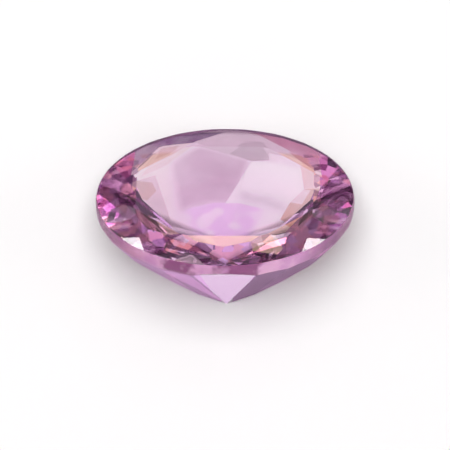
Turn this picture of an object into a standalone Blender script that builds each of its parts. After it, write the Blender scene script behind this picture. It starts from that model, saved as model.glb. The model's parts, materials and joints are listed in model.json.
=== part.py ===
"""Oval-cut amethyst, 18 mm long: one solid, ground facet by facet out of an oval blank.

The stone is cut with its table up and its girdle level, and is then laid down on the flat facet in the middle
of its rear pavilion. The origin is under the middle of the stone, on the surface that it lies on. +X is the
long axis, +Z is up, and the front of the stone is at -Y.
"""

from math import atan2, cos, pi, radians, sin

import bmesh
import bpy
from mathutils import Matrix, Vector

# Oval of the girdle, in metres
LENGTH = 0.0180
WIDTH = 0.0152

# Heights, with zero at the girdle's upper edge
TABLE_HEIGHT = 0.00052
GIRDLE_HEIGHT = 0.00107
CULET_DEPTH = 0.00972

# Girdle: a rounded band, widest in the middle of its height
GIRDLE_STRIPS = 96
SHOULDER_INSET = 0.00007
SHOULDER_HEIGHT = 0.00026

# Crown: an octagonal table, a star on each of its sides, then rings of mains and break facets
MAIN_COUNT = 24
MAIN_SLOPE = radians(13.0)
BREAK_SLOPE = radians(15.3)
STAR_COUNT = 8
STAR_SLOPE = radians(7.7)
TABLE_HALF_WIDTH = 0.00490
TABLE_HALF_DIAGONAL = 0.00555
TABLE_HALF_LENGTH = 0.00617

# Pavilion: facet corners on the girdle, as angles from the middle of a long side, and slopes
CENTRE_HALF_ANGLE = radians(15)
SHOULDER_ANGLE = radians(30)
GIRDLE_TIER = (
    (radians(30), radians(45), radians(49)),
    (radians(45), radians(60), radians(55)),
    (radians(60), radians(75), radians(55)),
    (radians(75), radians(105), radians(52)),
)
CULET_TIER = (
    (radians(37.5), radians(40)),
    (radians(57), radians(35)),
    (radians(78), radians(33)),
)

# A cut that passes this near a corner goes through it
SNAP = 2e-7
STEEP = radians(60)

COLOUR = (0.62, 0.36, 0.66, 1.0)
ROUGHNESS = 0.02
REFRACTIVE_INDEX = 1.55


def on_oval(angle, inset=0.0):
    """Point of the girdle oval, moved in by inset, for an angle from the middle of the front side."""
    return Vector((LENGTH / 2 * sin(angle), -WIDTH / 2 * cos(angle), 0)) - outward(angle) * inset


def outward(angle):
    """Level unit vector square to the oval at that angle."""
    return Vector((sin(angle) / LENGTH, -cos(angle) / WIDTH, 0)).normalized()


def facet_normal(level_out, slope, up):
    """Normal of a facet that leans by slope from level, on the crown (up 1) or the pavilion (up -1)."""
    return level_out * sin(slope) + Vector((0, 0, up * cos(slope)))


def four_ways(vector):
    """The vector and its mirror images across both axes of the oval, each once."""
    ways = []
    for across in (1, -1):
        for along in (1, -1):
            way = Vector((vector.x * across, vector.y * along, vector.z))
            if all((way - other).length > SNAP for other in ways):
                ways.append(way)
    return ways


def make_blank():
    """An upright oval prism that has the girdle's rounded band and stock above and below it."""
    levels = (
        (SHOULDER_INSET, -2 * CULET_DEPTH),
        (SHOULDER_INSET, -GIRDLE_HEIGHT),
        (0, -GIRDLE_HEIGHT + SHOULDER_HEIGHT),
        (0, -SHOULDER_HEIGHT),
        (SHOULDER_INSET, 0),
        (SHOULDER_INSET, 2 * TABLE_HEIGHT),
    )
    stone = bmesh.new()
    rings = []
    for inset, height in levels:
        corners = []
        for strip in range(GIRDLE_STRIPS):
            place = on_oval(2 * pi * strip / GIRDLE_STRIPS, inset)
            corners.append(stone.verts.new((place.x, place.y, height)))
        rings.append(corners)
    for lower, upper in zip(rings, rings[1:]):
        for left in range(GIRDLE_STRIPS):
            right = (left + 1) % GIRDLE_STRIPS
            stone.faces.new((lower[left], lower[right], upper[right], upper[left]))
    stone.faces.new(rings[0][::-1])
    stone.faces.new(rings[-1])
    return stone


def grind(stone, point, normal):
    """Takes off the stone beyond a plane, and closes the stone there with one flat facet."""
    cut = bmesh.ops.bisect_plane(
        stone,
        geom=stone.verts[:] + stone.edges[:] + stone.faces[:],
        dist=SNAP,
        plane_co=point,
        plane_no=normal,
        clear_outer=True,
    )
    rim = [piece for piece in cut["geom_cut"] if isinstance(piece, bmesh.types.BMEdge)]
    open_rim = [edge for edge in rim if edge.is_boundary]
    if open_rim:
        bmesh.ops.contextual_create(stone, geom=open_rim)


def cut_crown(stone):
    """The mains and the break facets start at the girdle, and the stars and the table take off the top."""
    step = 2 * pi / MAIN_COUNT
    for index in range(MAIN_COUNT):
        angle = step * (index + 0.5)
        grind(stone, on_oval(angle, SHOULDER_INSET), facet_normal(outward(angle), MAIN_SLOPE, 1))
    for index in range(MAIN_COUNT):
        angle = step * index
        ends = [on_oval(angle + side * step / 2, SHOULDER_INSET) for side in (-1, 1)]
        grind(stone, (ends[0] + ends[1]) / 2, facet_normal(outward(angle), BREAK_SLOPE, 1))
    table_sides = (TABLE_HALF_WIDTH, TABLE_HALF_DIAGONAL, TABLE_HALF_LENGTH, TABLE_HALF_DIAGONAL)
    for index in range(STAR_COUNT):
        level_out = outward(2 * pi * index / STAR_COUNT)
        edge = level_out * table_sides[index % len(table_sides)]
        edge.z = TABLE_HEIGHT
        grind(stone, edge, facet_normal(level_out, STAR_SLOPE, 1))
    grind(stone, Vector((0, 0, TABLE_HEIGHT)), Vector((0, 0, 1)))


def side_of_girdle(start, end):
    """A point on the girdle's lower edge and the level direction square to the chord between two angles."""
    first = on_oval(start, SHOULDER_INSET)
    chord = on_oval(end, SHOULDER_INSET) - first
    first.z = -GIRDLE_HEIGHT
    return first, Vector((-chord.y, chord.x, 0)).normalized() * -1


def slope_to_culet(corner, level_out):
    """Slope of the facet that runs from a side of the girdle's lower edge straight to the culet."""
    return atan2(CULET_DEPTH - GIRDLE_HEIGHT, corner.dot(level_out))


def cut_pavilion(stone):
    """Six large facets run from girdle to culet, and two tiers of facets shape the ends of the oval."""
    culet = Vector((0, 0, -CULET_DEPTH))
    long_facets = ((-CENTRE_HALF_ANGLE, CENTRE_HALF_ANGLE), (CENTRE_HALF_ANGLE, SHOULDER_ANGLE))
    for start, end in long_facets:
        corner, level_out = side_of_girdle(start, end)
        slope = slope_to_culet(corner, level_out)
        for normal in four_ways(facet_normal(level_out, slope, -1)):
            grind(stone, culet, normal)
    for start, end, slope in GIRDLE_TIER:
        corner, level_out = side_of_girdle(start, end)
        normal = facet_normal(level_out, slope, -1)
        reach = normal.dot(corner)
        for way in four_ways(normal):
            grind(stone, way * reach, way)
    for angle, slope in CULET_TIER:
        for normal in four_ways(facet_normal(outward(angle), slope, -1)):
            grind(stone, culet, normal)


def lay_down(stone):
    """Turns the stone onto its rear middle facet, with its box centred over the origin."""
    corner, level_out = side_of_girdle(-CENTRE_HALF_ANGLE, CENTRE_HALF_ANGLE)
    tilt = slope_to_culet(corner, level_out)
    bmesh.ops.transform(stone, matrix=Matrix.Rotation(-tilt, 4, "X"), verts=stone.verts)
    lowest = Vector([min(vert.co[axis] for vert in stone.verts) for axis in range(3)])
    highest = Vector([max(vert.co[axis] for vert in stone.verts) for axis in range(3)])
    middle = (lowest + highest) / 2
    bmesh.ops.translate(stone, vec=(-middle.x, -middle.y, -lowest.z), verts=stone.verts)


def round_off_band(stone):
    """Shades the girdle's strips as one smooth band, with sharp edges against the facets."""
    for face in stone.faces:
        upright = abs(face.normal.z) < cos(STEEP)
        face.smooth = upright and len(face.verts) < MAIN_COUNT
    for edge in stone.edges:
        edge.smooth = all(face.smooth for face in edge.link_faces)


def crystal():
    material = bpy.data.materials.new("amethyst_crystal")
    material.use_nodes = True
    shader = material.node_tree.nodes["Principled BSDF"]
    shader.inputs["Base Color"].default_value = COLOUR
    shader.inputs["Roughness"].default_value = ROUGHNESS
    shader.inputs["Metallic"].default_value = 0.0
    shader.inputs["IOR"].default_value = REFRACTIVE_INDEX
    return material


def main():
    for old in list(bpy.data.objects):
        bpy.data.objects.remove(old)
    stone = make_blank()
    cut_crown(stone)
    cut_pavilion(stone)
    bmesh.ops.recalc_face_normals(stone, faces=stone.faces)
    round_off_band(stone)
    lay_down(stone)
    mesh = bpy.data.meshes.new("amethyst")
    stone.to_mesh(mesh)
    stone.free()
    mesh.materials.append(crystal())
    bpy.context.scene.collection.objects.link(bpy.data.objects.new("amethyst", mesh))


main()
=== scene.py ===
import json
from math import cos, pi, radians, sin

import bmesh
import bpy
from mathutils import Matrix, Vector

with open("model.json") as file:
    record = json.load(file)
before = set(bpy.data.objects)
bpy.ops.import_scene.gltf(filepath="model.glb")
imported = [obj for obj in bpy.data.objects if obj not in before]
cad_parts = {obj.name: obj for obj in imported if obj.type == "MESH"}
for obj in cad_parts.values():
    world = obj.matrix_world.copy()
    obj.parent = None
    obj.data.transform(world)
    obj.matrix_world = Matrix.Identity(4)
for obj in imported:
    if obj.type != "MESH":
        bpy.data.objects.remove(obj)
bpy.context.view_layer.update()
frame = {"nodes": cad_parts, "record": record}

scene = bpy.context.scene

# The amethyst: one crystal of pale violet quartz, ground facet by facet on a flat lap and then polished.
# It lies loose on the flat facet behind its point, so its table faces up and away from the front.
# Its pavilion is painted with straight-sided patches of light and shade, lilac at the point and warm at the
# sides: the glow, shadow and caustics under the stone, as seen through the table.
stone = frame["nodes"]["amethyst"]
table = next(mount for mount in frame["record"]["mounts"] if mount["name"] == "table")
table_out = Vector(table["axis"]).normalized()
long_way = Vector((1, 0, 0))
away = table_out.cross(long_way).normalized()
crown_height = 0.00052
girdle_top = Vector(table["pos_m"]) - table_out * crown_height


class Shade:
    """An output of a node in a material: arithmetic on it adds Math nodes, and node() adds any other kind."""

    def __init__(self, tree, socket=None):
        self.tree = tree
        self.socket = socket

    def node(self, kind, settings, values, output=0):
        made = self.tree.nodes.new(kind)
        for name, setting in settings.items():
            setattr(made, name, setting)
        for name, value in values.items():
            if isinstance(value, Shade):
                self.tree.links.new(value.socket, made.inputs[name])
            else:
                made.inputs[name].default_value = value
        return Shade(self.tree, made.outputs[output] if made.outputs else None)

    def maths(self, operation, first, second):
        return self.node("ShaderNodeMath", {"operation": operation}, {0: first, 1: second})

    def __add__(self, other):
        return self.maths("ADD", self, other)

    def __radd__(self, other):
        return self.maths("ADD", other, self)

    def __sub__(self, other):
        return self.maths("SUBTRACT", self, other)

    def __rsub__(self, other):
        return self.maths("SUBTRACT", other, self)

    def __mul__(self, other):
        return self.maths("MULTIPLY", self, other)

    def __rmul__(self, other):
        return self.maths("MULTIPLY", other, self)

    def __abs__(self):
        return self.node("ShaderNodeMath", {"operation": "ABSOLUTE"}, {0: self})


def new_material(name):
    """A material with no nodes in it yet, and the Shade that makes them."""
    material = bpy.data.materials.new(name)
    material.use_nodes = True
    material.node_tree.nodes.clear()
    return material, Shade(material.node_tree)


def rise(value, start, end):
    """From 0 where the value is at start to 1 where it is at end, with soft ends."""
    settings = {"interpolation_type": "SMOOTHSTEP"}
    return value.node("ShaderNodeMapRange", settings, {"Value": value, "From Min": start, "From Max": end})


def past(value, limit, soft):
    """0 below a limit and 1 beyond it, over an edge that is as wide as soft."""
    return rise(value, limit - soft / 2, limit + soft / 2)


def blend(mask, under, over):
    """The colour under where the mask is 0, and the colour over where it is 1."""
    return mask.node("ShaderNodeMix", {"data_type": "RGBA"}, {0: mask, 6: under, 7: over}, 2)


def dot(vector, direction):
    settings = {"operation": "DOT_PRODUCT"}
    return vector.node("ShaderNodeVectorMath", settings, {0: vector, 1: direction}, "Value")


crystal, tool = new_material("polished_amethyst")
place = tool.node("ShaderNodeTexCoord", {}, {}, "Object")
facing = tool.node("ShaderNodeNewGeometry", {}, {}, "Normal")


def noise(scale, detail, distortion=0.0):
    values = {"Vector": place, "Scale": scale, "Detail": detail, "Distortion": distortion}
    return tool.node("ShaderNodeTexNoise", {}, values, "Fac")


# Places on the cut stone, in metres from the middle of the girdle's upper edge. Its slope is 1 on the table
# and 0 on an upright face.
along = dot(place, long_way)
behind = dot(place, away) - away.dot(girdle_top)
depth = table_out.dot(girdle_top) - dot(place, table_out)
slope = dot(facing, table_out)

# Parts of its surface: the girdle, the table, the crown's small facets, and both sides of the pavilion
girdle_slope = 0.40
crown_slope = 0.905
star_slope = 0.983
table_slope = 0.9975
crown_end = 0.0043
pavilion_top = 0.0009
girdle = 1 - past(abs(slope), girdle_slope, 0.10)
table_facet = past(slope, table_slope, 0.0010)
crown = past(slope, crown_slope, 0.01) * (1 - table_facet) * (1 - past(behind, crown_end, 0.0006))
stars = crown * past(slope, star_slope, 0.001)
pavilion = past(depth, pavilion_top, 0.0002)
rear_half = past(behind, 0, 0.0004)
rear = rear_half * pavilion
front = (1 - rear_half) * pavilion


def painted_patch(soft, corners):
    """1 in a straight-sided painted patch of the window behind the table, with corners (along, depth) in mm,
    clockwise.
    """
    inside = rear
    for (along_0, depth_0), (along_1, depth_1) in zip(corners, corners[1:] + corners[:1]):
        inward = Vector((depth_0 - depth_1, along_1 - along_0)).normalized()
        plane = long_way * inward.x - table_out * inward.y
        offset = inward.dot((along_0, depth_0)) / 1000 - table_out.dot(girdle_top) * inward.y
        inside = inside * past(dot(place, plane), offset, soft)
    return inside


# Painted patches of light and shade behind the table: how wide the edge is, the tint, and the corners
crisp = 0.00006
faint = 0.0009
pale_pink = (0.90, 0.78, 0.86, 1)
rose_violet = (0.62, 0.43, 0.56, 1)
warm_pale = (0.90, 0.80, 0.80, 1)
near_white = (0.98, 0.99, 0.96, 1)
haze = (0.77, 0.74, 0.76, 1)
dusty_rose = (0.82, 0.66, 0.66, 1)
brick = (0.66, 0.40, 0.38, 1)
mauve = (0.66, 0.50, 0.56, 1)
beige = (0.52, 0.32, 0.30, 1)
peach = (0.86, 0.58, 0.56, 1)
brown = (0.60, 0.30, 0.20, 1)
grey_mauve = (0.62, 0.48, 0.56, 1)
grey = (0.46, 0.34, 0.41, 1)
blush = (0.92, 0.74, 0.82, 1)
deep_violet = (0.07, 0.006, 0.09, 1)
wine = (0.10, 0.012, 0.10, 1)
rosy = (0.42, 0.12, 0.22, 1)
painted_window_patches = (
    (faint, rose_violet, ((-3.93, 2.91), (-1.84, 2), (1.74, 3.14), (0.83, 5.27), (0.4, 6.45), (-3.2, 6.45))),
    (faint, warm_pale, ((-9, 2), (-4.2, 2), (-3.6, 7), (-9, 7))),
    (crisp, near_white, ((1.75, 3.23), (9, 2.2), (9, 9.6), (-1.78, 9.6))),
    (faint, haze, ((0.9, 5.5), (9, 5.5), (9, 6.35), (0.9, 6.35))),
    (crisp, dusty_rose, ((-4.67, 1.56), (-2.4, 1.95), (-4.1, 2.9), (-6.0, 3.0))),
    (crisp, brick, ((-4.5, 1.75), (-3.2, 1.98), (-4.0, 2.35), (-4.9, 2.35))),
    (crisp, mauve, ((-9, 2.9), (-5.0, 3.3), (-3.87, 6.75), (-9, 6.75))),
    (crisp, beige, ((-6.6, 3.0), (-5.2, 3.7), (-4.9, 4.4), (-5.5, 4.8), (-6.4, 4.3))),
    (crisp, peach, ((5.11, 2.3), (7.0, 2.8), (7.0, 3.2), (5.43, 4.03))),
    (crisp, brown, ((5.43, 4.03), (7.0, 3.2), (7.0, 7.0), (3.79, 6.75), (4.47, 5.31))),
    (crisp, dusty_rose, ((5.43, 4.03), (5.9, 3.9), (5.3, 5.1), (4.47, 5.31))),
    (crisp, grey_mauve, ((-2.31, 1.96), (0.59, 0.53), (4.83, 2.32), (1.75, 3.23))),
    (crisp, grey, ((1.1, 1.9), (2.4, 1.85), (3.05, 2.8), (1.75, 3.23), (0.2, 2.65))),
    (crisp, blush, ((2.95, 2.35), (4.83, 2.32), (2.95, 2.9))),
    (crisp, deep_violet, ((-5, 0), (1.66, 0), (-2.31, 1.96), (-5, 1.5))),
    (crisp, wine, ((-9, 0), (-4.67, 0), (-4.67, 1.56), (-5.55, 2.28), (-9, 4))),
    (crisp, rosy, ((-0.66, 0), (9, 0), (9, 3.3), (4.83, 2.32))),
)
colour = pale_pink
for soft, tint, corners in painted_window_patches:
    colour = blend(painted_patch(soft, corners), colour, tint)

# Painted shade, deeper in the middle; lilac painted caustic light over the point, with pale painted specks of
# light in it; and faint wisps all through the pavilion
pink_violet = (0.50, 0.31, 0.44, 1)
lilac = (0.86, 0.60, 0.94, 1)
painted_speck_white = (1.0, 0.88, 1.0, 1)
wisp_white = (0.86, 0.80, 0.84, 1)
shade_middle = girdle_top + long_way * -0.0009 + away * 0.0043 - table_out * 0.0043
lilac_middle = -0.00015
lilac_top = 0.00650
lilac_taper = 0.35
from_shade_middle = tool.node("ShaderNodeVectorMath", {"operation": "DISTANCE"}, {0: place, 1: shade_middle}, "Value")
from_axis = abs(along - lilac_middle) + (depth - lilac_top) * lilac_taper
painted_caustic = rear * past(depth, lilac_top, 2 * crisp) * rise(from_axis, 0.0031, 0.0022)
bead_values = {"Vector": place, "Scale": 720.0}
bead = tool.node("ShaderNodeTexVoronoi", {"feature": "SMOOTH_F1"}, bead_values, "Distance")
wisp = noise(260.0, 3.0, 0.6)
colour = blend(rise(from_shade_middle, 0.0026, 0.0006) * 0.45, colour, pink_violet)
colour = blend(painted_caustic, colour, lilac)
colour = blend(painted_caustic * rise(bead, 0.42, 0.20), colour, painted_speck_white)
colour = blend(rise(wisp, 0.35, 0.75) * 0.25 * pavilion, colour, wisp_white)

# The front of the pavilion, the table, and the crown's small facets, each with its own tint. The crown's
# patches are painted reflections of the light and dark inside, with white painted flashes.
violet = (0.62, 0.34, 0.72, 1)
shade_violet = (0.34, 0.10, 0.34, 1)
clear = (0.97, 0.95, 0.97, 1)
plum = (0.11, 0.03, 0.09, 1)
pink = (0.94, 0.68, 0.88, 1)
salmon = (0.92, 0.52, 0.46, 1)
painted_flash = (1.0, 0.95, 1.0, 1)
sand = (0.80, 0.54, 0.38, 1)
facet_step = (0.011, 0.013, 0.017)
snapped = tool.node("ShaderNodeVectorMath", {"operation": "SNAP"}, {0: facing, 1: facet_step})
chance = tool.node("ShaderNodeTexWhiteNoise", {"noise_dimensions": "3D"}, {"Vector": snapped}, "Value")
patch = tool.node("ShaderNodeTexVoronoi", {}, {"Vector": place, "Scale": 1500.0}, "Color")
patch_chance = dot(patch, (1, 0, 0))
patch_warmth = dot(patch, (0, 1, 0))
# The front's side facets are made darker with painted shade.
shaded_front_sides = front * past(abs(dot(facing, long_way)), 0.11, 0.02)
crown_painted_reflections = blend(rise(chance * 0.4 + patch_chance * 0.6, 0.2, 0.8), plum, pink)
crown_painted_reflections = blend(past(patch_warmth, 0.64, 0.04), crown_painted_reflections, salmon)
crown_painted_reflections = blend(past(patch_chance, 0.85, 0.02), crown_painted_reflections, painted_flash)
crown_painted_reflections = blend(stars * past(chance, 0.35, 0.1), crown_painted_reflections, sand)
colour = blend(front, colour, violet)
colour = blend(shaded_front_sides, colour, shade_violet)
colour = blend(table_facet, colour, clear)
colour = blend(crown, colour, crown_painted_reflections)

# The girdle: ground matt on a coarse wheel, so it scatters the dark and light that it gets from inside. Its
# colour
# paints that light and shade: pink and violet clouds, and painted shade in two frayed clouds at the front and
# all over the back.
shade_maroon = (0.17, 0.03, 0.11, 1)
girdle_violet = (0.74, 0.36, 0.66, 1)
girdle_pink = (1.0, 0.62, 0.80, 1)
ground_roughness = 0.45
ground_height = 0.00002
left_shade = -0.0028
right_shade = 0.0014
fray = 0.007
cloud = noise(480.0, 3.0)
grain = noise(9000.0, 2.0)
frayed = along + (cloud - 0.5) * fray
girdle_light_and_shade = blend(rise(cloud, 0.44, 0.58), girdle_violet, girdle_pink)
girdle_light_and_shade = blend(rise(abs(frayed - left_shade), 0.0014, 0.0006), girdle_light_and_shade, shade_maroon)
girdle_light_and_shade = blend(rise(abs(frayed - right_shade), 0.0017, 0.0008), girdle_light_and_shade, shade_maroon)
girdle_light_and_shade = blend(rise(behind, 0.0030, 0.0045), girdle_light_and_shade, shade_maroon)
colour = blend(girdle, colour, girdle_light_and_shade)
relief = {"Height": grain * girdle, "Distance": ground_height, "Strength": 0.5}
ground = tool.node("ShaderNodeBump", {}, relief)

# The crystal itself: clear, with the refractive index of quartz, and a body that takes up some green light
quartz_ior = 1.55
body_colour = (0.62, 0.20, 0.58, 1)
body_density = 42.0
surface = tool.node("ShaderNodeBsdfPrincipled", {}, {
    "Base Color": colour,
    "Roughness": girdle * ground_roughness,
    "IOR": quartz_ior,
    "Transmission Weight": 1.0,
    "Normal": ground,
})
body = tool.node("ShaderNodeVolumeAbsorption", {}, {"Color": body_colour, "Density": body_density})
tool.node("ShaderNodeOutputMaterial", {}, {"Surface": surface, "Volume": body})
stone.material_slots[0].material = crystal

# The floor: a plain white sheet of frosted acrylic. Where the stone covers it, it glows with painted light,
# in the stone's
# outline: two straight sides at the point, and an oval.
floor_size = 0.6
floor_gap = 0.00002
floor_white = (0.86, 0.86, 0.86, 1)
unlit = (0, 0, 0, 1)
glow_white = (1.0, 0.98, 1.0, 1)
glow_strength = 0.62
point_place = -0.0061
side_slope = 1.7
oval_middle = 0.0012
oval_half_length = 0.0084
oval_half_width = 0.0043

floor_mesh = bpy.data.meshes.new("floor")
sheet = bmesh.new()
bmesh.ops.create_grid(sheet, x_segments=1, y_segments=1, size=floor_size)
sheet.to_mesh(floor_mesh)
sheet.free()
floor = bpy.data.objects.new("floor", floor_mesh)
floor.location.z = -floor_gap
scene.collection.objects.link(floor)

acrylic, tool = new_material("frosted_acrylic")
spot = tool.node("ShaderNodeTexCoord", {}, {}, "Object")
across = dot(spot, (1, 0, 0))
backward = dot(spot, (0, 1, 0))
from_sides = (backward - point_place) * side_slope - abs(across)
beyond = (backward - oval_middle) * past(backward, oval_middle, 2 * crisp)
oval = across * across * (1 / oval_half_length ** 2) + beyond * beyond * (1 / oval_half_width ** 2)
glow = past(from_sides, 0.00025, 0.0013) * (1 - past(oval, 0.89, 0.28))
surface = tool.node("ShaderNodeBsdfPrincipled", {}, {
    "Base Color": floor_white,
    "Roughness": 0.9,
    "Specular IOR Level": 0.1,
    "Emission Color": blend(glow, unlit, glow_white),
    "Emission Strength": glow_strength,
})
tool.node("ShaderNodeOutputMaterial", {}, {"Surface": surface})
floor_mesh.materials.append(acrylic)


# Three cards lie around the stone, just above the sheet. They are painted reflections, dark and tinted: they
# show in reflections alone, so that the facets at the back and at the front of the stone don't mirror plain
# white.
def reflection_card(name, reflected_colour, outline):
    """A flat card seen only in reflections, that casts no shadow, with its corners in millimetres."""
    mesh = bpy.data.meshes.new(name)
    mesh.from_pydata([(x / 1000, y / 1000, 0) for x, y in outline], [], [range(len(outline))])
    card = bpy.data.objects.new(name, mesh)
    card.location.z = -floor_gap / 2
    card.visible_camera = False
    card.visible_diffuse = False
    card.visible_transmission = False
    card.visible_shadow = False
    scene.collection.objects.link(card)
    card_material, tool = new_material(name)
    values = {"Base Color": reflected_colour, "Roughness": 1.0, "Specular IOR Level": 0.0}
    surface = tool.node("ShaderNodeBsdfPrincipled", {}, values)
    tool.node("ShaderNodeOutputMaterial", {}, {"Surface": surface})
    mesh.materials.append(card_material)


dark_reflection = (0.16, 0.10, 0.16, 1)
mauve_reflection = (0.86, 0.56, 0.86, 1)
purple_reflection = (0.58, 0.38, 0.58, 1)
reflection_card("dark_card", dark_reflection, ((-50, 3), (50, 3), (50, 70), (-50, 70)))
reflection_card("mauve_card", mauve_reflection, ((-12, -12), (-4.5, -12), (-0.2, -5.8), (-0.2, -0.5), (-12, -0.5)))
reflection_card("purple_card", purple_reflection, ((4.5, -12), (12, -12), (12, -0.5), (0.2, -0.5), (0.2, -5.8)))

# The camera: it looks down on the stone with a long lens, so it sees the stone's front as the photograph
# does. Its height and turn are measured from the table facet.
camera_height = radians(39.4)
camera_turn = radians(2.0)
camera_roll = radians(-0.96)
camera_distance = 0.6
frame_width = 0.0313
aim_below = 0.00197

level = long_way * sin(camera_turn) - away * cos(camera_turn)
to_camera = level * cos(camera_height) + table_out * sin(camera_height)
right = Matrix.Rotation(camera_roll, 3, to_camera) @ table_out.cross(level)
up = to_camera.cross(right)
aim = girdle_top - up * aim_below
lens = bpy.data.cameras.new("camera")
lens.sensor_width = 36
lens.lens = lens.sensor_width * camera_distance / frame_width
lens.clip_start = 0.01
camera = bpy.data.objects.new("camera", lens)
camera.matrix_world = Matrix((right, up, to_camera)).transposed().to_4x4()
camera.location = aim + to_camera * camera_distance
scene.collection.objects.link(camera)
scene.camera = camera

# The light: soft boxes around a dim room. The high ones light the table and the floor, the low ones behind
# the stone glint on the front of its crown, and the tinted ones at the sides colour what its facets mirror.
# The overhead would draw bright streaks through the stone, so the weaker ceiling shows there in its place.
light_distance = 0.5
room_light = 0.17
white = (1, 1, 1)
pink_gel = (1, 0.72, 0.85)
gold_gel = (1, 0.76, 0.50)
amber_gel = (1, 0.74, 0.42)
warm_gel = (1, 0.66, 0.6)
violet_gel = (0.9, 0.7, 1)
rose_gel = (1, 0.82, 0.9)
salmon_gel = (1, 0.75, 0.72)
peach_gel = (1, 0.72, 0.62)


def softbox(name, turn, height, width, tall, radiance, gel=white):
    """A flat light, placed by its turn from straight behind the stone and its height, all in degrees."""
    data = bpy.data.lights.new(name, "AREA")
    data.shape = "RECTANGLE"
    data.size = radians(width) * light_distance
    data.size_y = radians(tall) * light_distance
    data.energy = radiance * pi * data.size * data.size_y
    data.color = gel
    light = bpy.data.objects.new(name, data)
    way = Vector((
        sin(radians(turn)) * cos(radians(height)),
        cos(radians(turn)) * cos(radians(height)),
        sin(radians(height)),
    ))
    light.location = way * light_distance
    light.rotation_mode = "QUATERNION"
    light.rotation_quaternion = way.to_track_quat("Z", "Y")
    light.visible_camera = False
    scene.collection.objects.link(light)
    return light


softbox("key", -4, 58, 14, 18, 1.1)
softbox("fill", 24, 53, 16, 12, 0.9)
overhead = softbox("overhead", 0, 80, 28, 26, 11.3)
overhead.visible_transmission = False
softbox("ceiling", 0, 80, 28, 26, 1.5)
softbox("left_glint", -16.8, 10.6, 4, 4, 14.0)
softbox("right_glint", 13.7, 11.4, 4, 4, 14.0)
softbox("pink_strip", -4.5, 20.1, 9, 3, 5.0, pink_gel)
softbox("gold_card", -1.6, 4.9, 5, 3, 5.0, gold_gel)
softbox("gold_card_right", 5.2, 13.8, 3.5, 3, 5.0, amber_gel)
softbox("left_wall", -90, 20, 40, 25, 1.2)
softbox("right_wall", 90, 20, 40, 25, 1.2)
softbox("front_wall", 180, 40, 60, 40, 0.5)
softbox("warm_left", -58, 27, 12, 9, 2.8, warm_gel)
softbox("warm_right", 58, 26, 12, 9, 1.0, warm_gel)
softbox("cool_left", -52, 57, 14, 10, 0.3, violet_gel)
softbox("cool_right", 50, 57, 14, 10, 1.1, violet_gel)
softbox("low_right", 156, 2.6, 28, 5, 3.0, rose_gel)
softbox("low_left", -157, 2.6, 20, 5, 2.0, rose_gel)
softbox("left_high", -87, 43, 22, 14, 1.5, salmon_gel)
softbox("right_high", 91, 44, 12, 12, 1.5, peach_gel)

room = bpy.data.worlds.new("room")
room.use_nodes = True
room.node_tree.nodes["Background"].inputs["Color"].default_value = (1, 1, 1, 1)
room.node_tree.nodes["Background"].inputs["Strength"].default_value = room_light
scene.world = room
scene.view_settings.view_transform = "Standard"
scene.cycles.use_denoising = True
scene.cycles.denoising_input_passes = "RGB_ALBEDO"
scene.cycles.max_bounces = 32
scene.cycles.transmission_bounces = 32
scene.cycles.glossy_bounces = 16
scene.cycles.diffuse_bounces = 4
